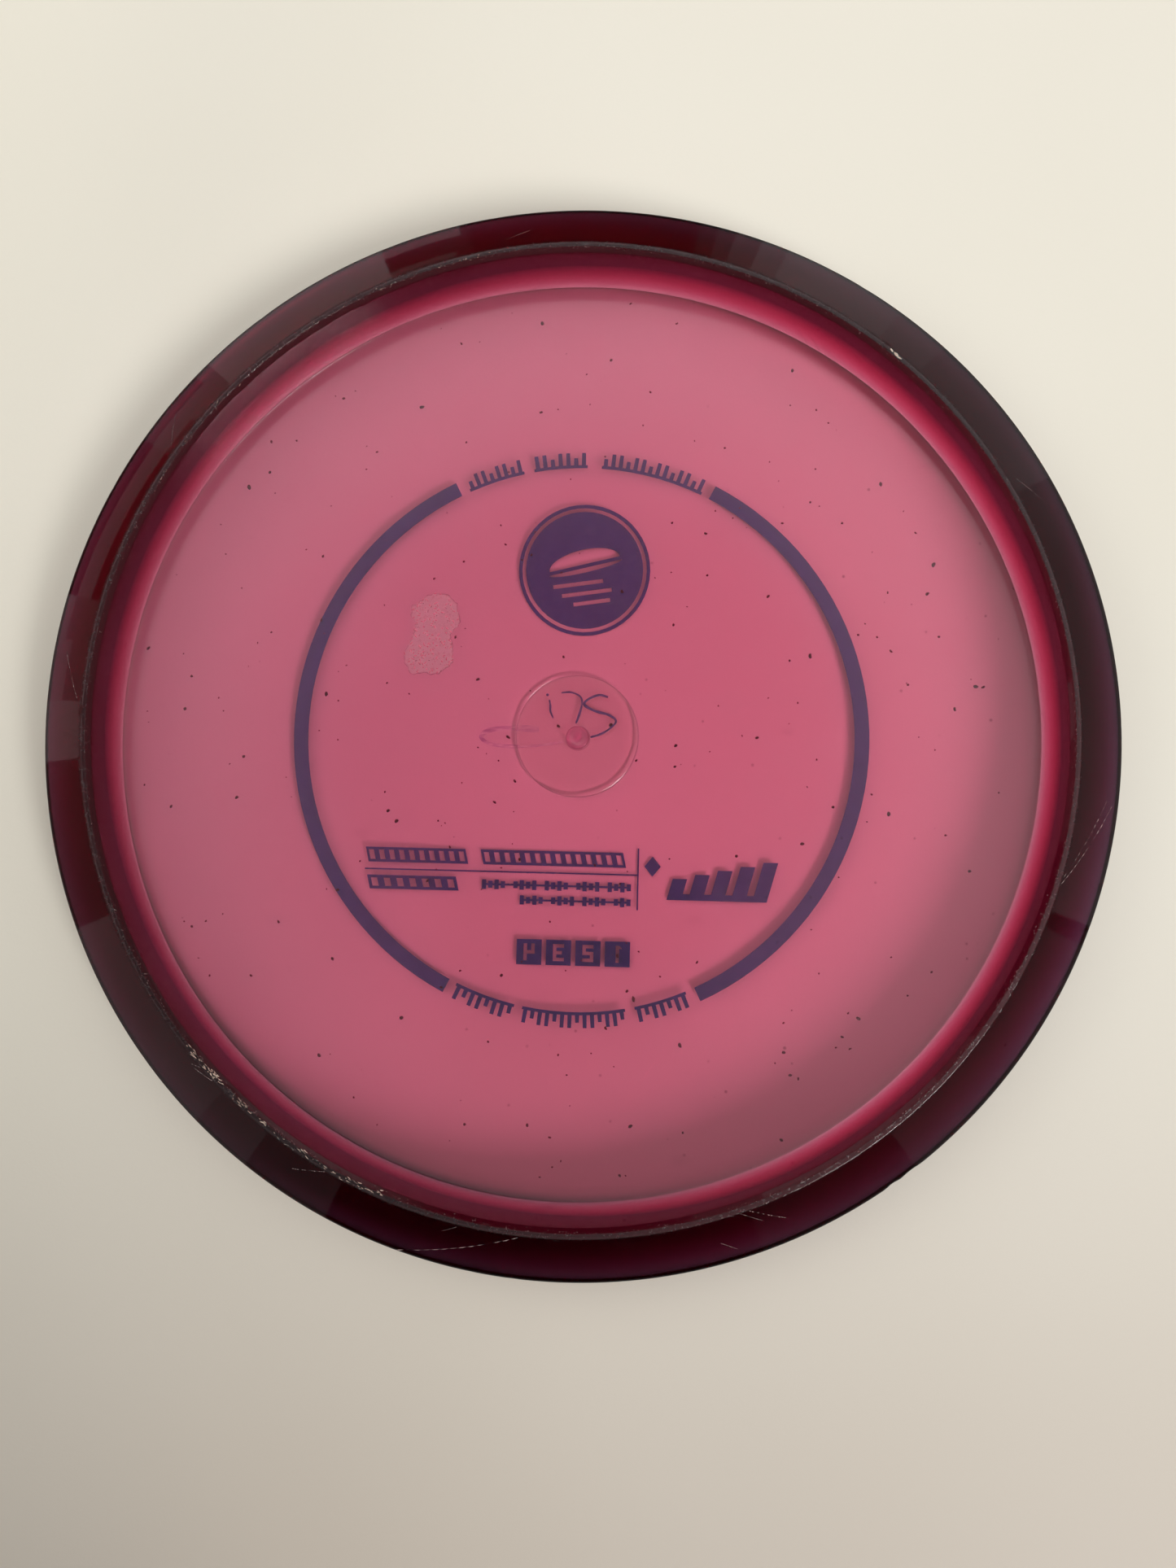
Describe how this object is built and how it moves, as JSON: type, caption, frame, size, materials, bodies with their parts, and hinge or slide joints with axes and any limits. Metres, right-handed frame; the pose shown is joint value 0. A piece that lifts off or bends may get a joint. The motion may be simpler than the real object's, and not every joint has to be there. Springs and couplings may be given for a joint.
{
  "type": "golf-type flying disc",
  "caption": "Tinted one-piece flying disc for throwing at a target: thin domed plate, deep hollow rim with a narrow foot, stamped foil on the top face. Shown underside up.",
  "frame": {"origin": "middle of the domed top face, which rests on the surface", "axes": "+Z along the disc's axis, out of the hollow underside; +Y towards the emblem on the top face; the disc lies underside up"},
  "size_m": [0.217, 0.217, 0.019],
  "materials": {
    "tinted_plastic": "see-through magenta plastic, glossy, scuffed at the foot and nose",
    "foil": "dark blue-violet hot-stamped foil",
    "marker": "dry marker ink",
    "label_glue": "clear old glue, uneven"
  },
  "bodies": {
    "root": {"disc_body": "tinted_plastic", "foil_band_a": "foil", "foil_band_b": "foil", "foil_band_c": "foil", "foil_chain_a": "foil", "foil_chain_b": "foil", "foil_diamond": "foil", "foil_emblem": "foil", "foil_emblem_border": "foil", "foil_number_1": "foil", "foil_number_2": "foil", "foil_number_3": "foil", "foil_number_4": "foil", "foil_ring_left": "foil", "foil_ring_right": "foil", "foil_rules": "foil", "foil_scale_bottom_1": "foil", "foil_scale_bottom_2": "foil", "foil_scale_bottom_3": "foil", "foil_scale_top_1": "foil", "foil_scale_top_2": "foil", "foil_scale_top_3": "foil", "foil_stripes": "foil", "ink_1": "marker", "ink_5": "marker", "ink_7": "marker", "label_residue": "label_glue"}
  },
  "joints": []
}
